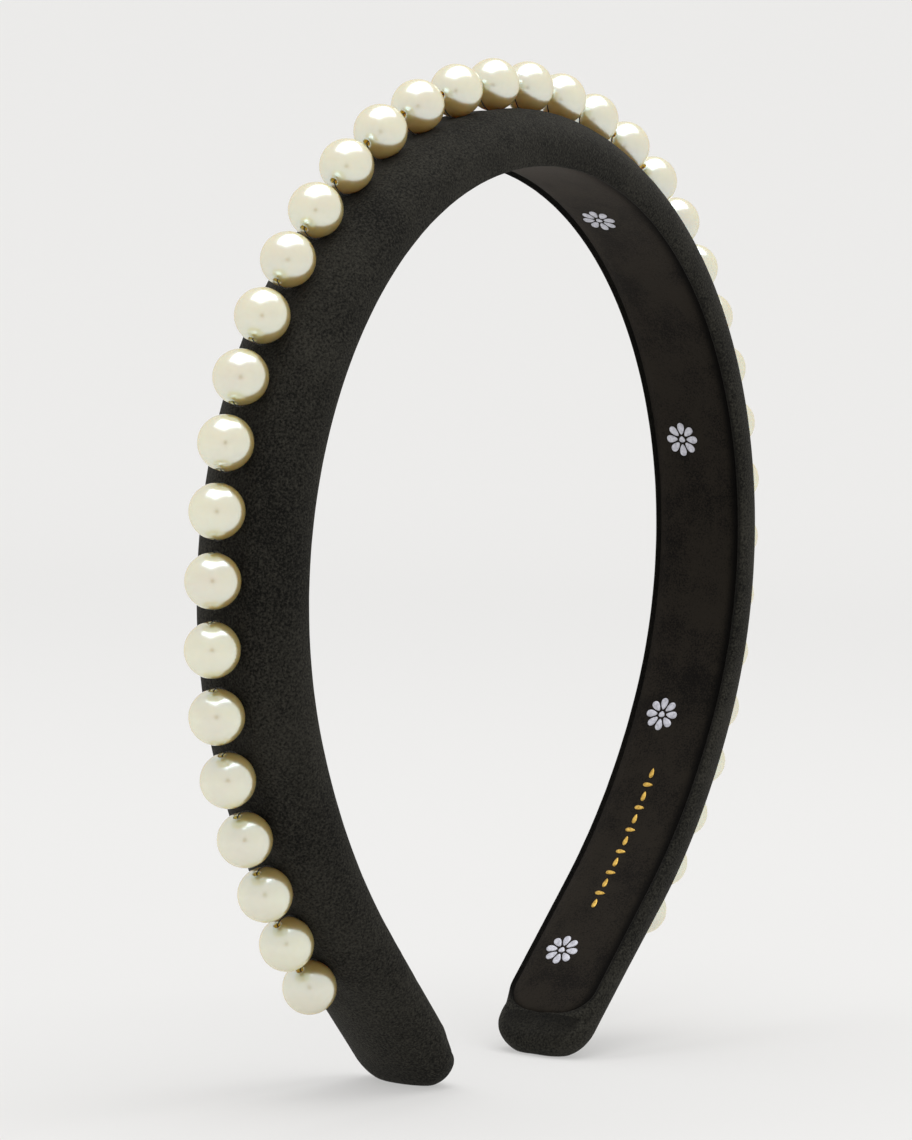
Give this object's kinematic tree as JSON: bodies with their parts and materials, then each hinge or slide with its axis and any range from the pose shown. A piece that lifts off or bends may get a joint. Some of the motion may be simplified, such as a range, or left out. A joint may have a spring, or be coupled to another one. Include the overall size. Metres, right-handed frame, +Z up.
{
  "type": "headband",
  "caption": "Padded velvet headband: a curved open band with rounded tips, a fabric lining inside and a row of pearls sewn along its outer crown line.",
  "frame": {"origin": "middle of the bounding box at floor level, between the two tips the band stands on", "axes": "+Z up from the tips to the crown, X from ear to ear with the shorter run of pearls on +X, Y across the width of the band"},
  "size_m": [0.1561, 0.017, 0.155],
  "materials": {
    "core": "flexible moulded strip, satin",
    "foam": "soft upholstery foam",
    "velvet": "short-pile velvet, black with a warm cast",
    "lining": "brushed suede-like cloth, very dark brown-black, foil printed",
    "thread": "polyester sewing thread",
    "pearl": "ivory pearl lacquer, glossy"
  },
  "bodies": {
    "root": {"core_band": "core", "foam_pad": "foam", "velvet_cover": "velvet", "lining": "lining", "pearl_thread": "thread", "pearl_01": "pearl", "pearl_02": "pearl", "pearl_03": "pearl", "pearl_04": "pearl", "pearl_05": "pearl", "pearl_06": "pearl", "pearl_07": "pearl", "pearl_08": "pearl", "pearl_09": "pearl", "pearl_10": "pearl", "pearl_11": "pearl", "pearl_12": "pearl", "pearl_13": "pearl", "pearl_14": "pearl", "pearl_15": "pearl", "pearl_16": "pearl", "pearl_17": "pearl", "pearl_18": "pearl", "pearl_19": "pearl", "pearl_20": "pearl", "pearl_21": "pearl", "pearl_22": "pearl", "pearl_23": "pearl", "pearl_24": "pearl", "pearl_25": "pearl", "pearl_26": "pearl", "pearl_27": "pearl", "pearl_28": "pearl", "pearl_29": "pearl", "pearl_30": "pearl", "pearl_31": "pearl", "pearl_32": "pearl", "pearl_33": "pearl", "pearl_34": "pearl", "pearl_35": "pearl", "pearl_36": "pearl", "pearl_37": "pearl", "pearl_38": "pearl"}
  },
  "joints": []
}
